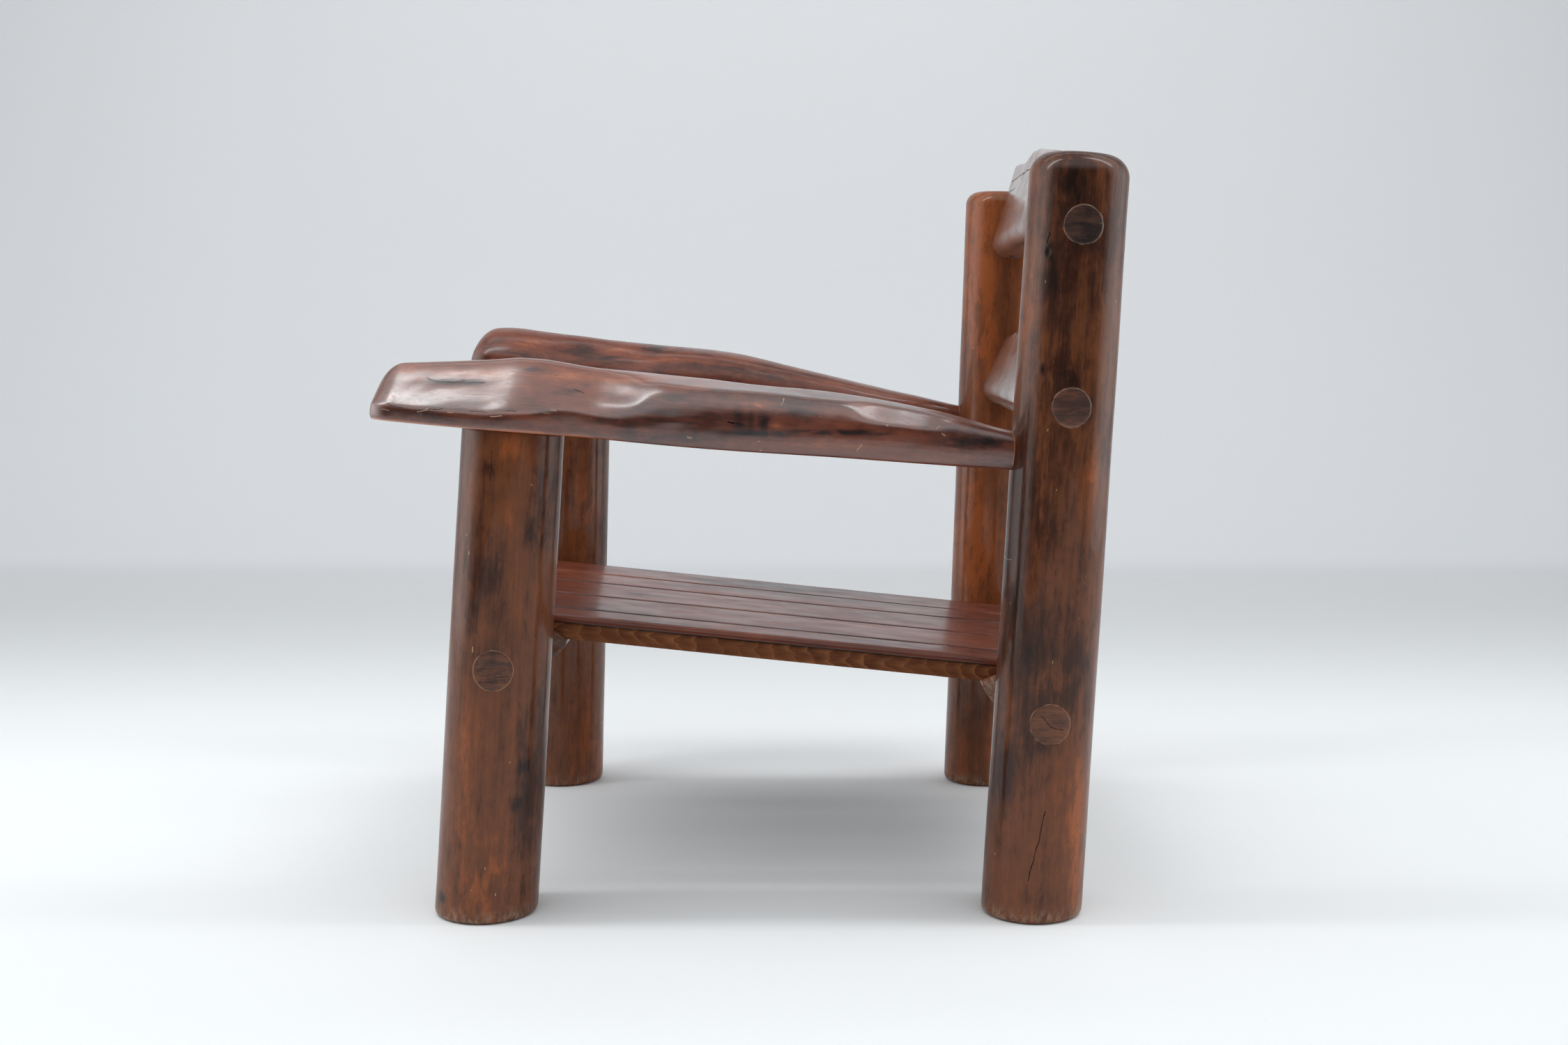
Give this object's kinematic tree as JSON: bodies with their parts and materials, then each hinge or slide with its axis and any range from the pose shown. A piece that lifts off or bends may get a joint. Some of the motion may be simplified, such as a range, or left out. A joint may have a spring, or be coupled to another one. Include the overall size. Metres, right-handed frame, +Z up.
{
  "type": "rustic log lounge chair",
  "caption": "Low lounge chair of stained logs: leaning posts, sculpted live-edge arms and back rails, round through tenons and a sloping board seat.",
  "frame": {"origin": "on the floor, below the centre of the chair's bounding box", "axes": "+Z up, the sitter faces -Y, +X towards the sitter's left"},
  "size_m": [0.7294, 0.8352, 0.873],
  "materials": {
    "post_wood": "satin varnish over dark red-brown stain",
    "arm_wood": "glossy varnish over dark red-brown stain",
    "back_wood": "satin varnish over dark stain",
    "seat_rail_wood": "satin varnish, ends left from the chisel",
    "board_wood": "satin varnish, worn",
    "batten_wood": "matt, thin stain",
    "nail_iron": "dark, aged"
  },
  "bodies": {
    "root": {"front_left_post": "post_wood", "front_right_post": "post_wood", "rear_left_post": "post_wood", "rear_right_post": "post_wood", "left_arm": "arm_wood", "right_arm": "arm_wood", "upper_back_rail": "back_wood", "lower_back_rail": "back_wood", "front_seat_rail": "seat_rail_wood", "rear_seat_rail": "seat_rail_wood", "seat_slat_1": "board_wood", "seat_slat_2": "board_wood", "seat_slat_3": "board_wood", "seat_slat_4": "board_wood", "seat_slat_5": "board_wood", "left_seat_batten": "batten_wood", "right_seat_batten": "batten_wood", "slat_nails": "nail_iron"}
  },
  "joints": []
}
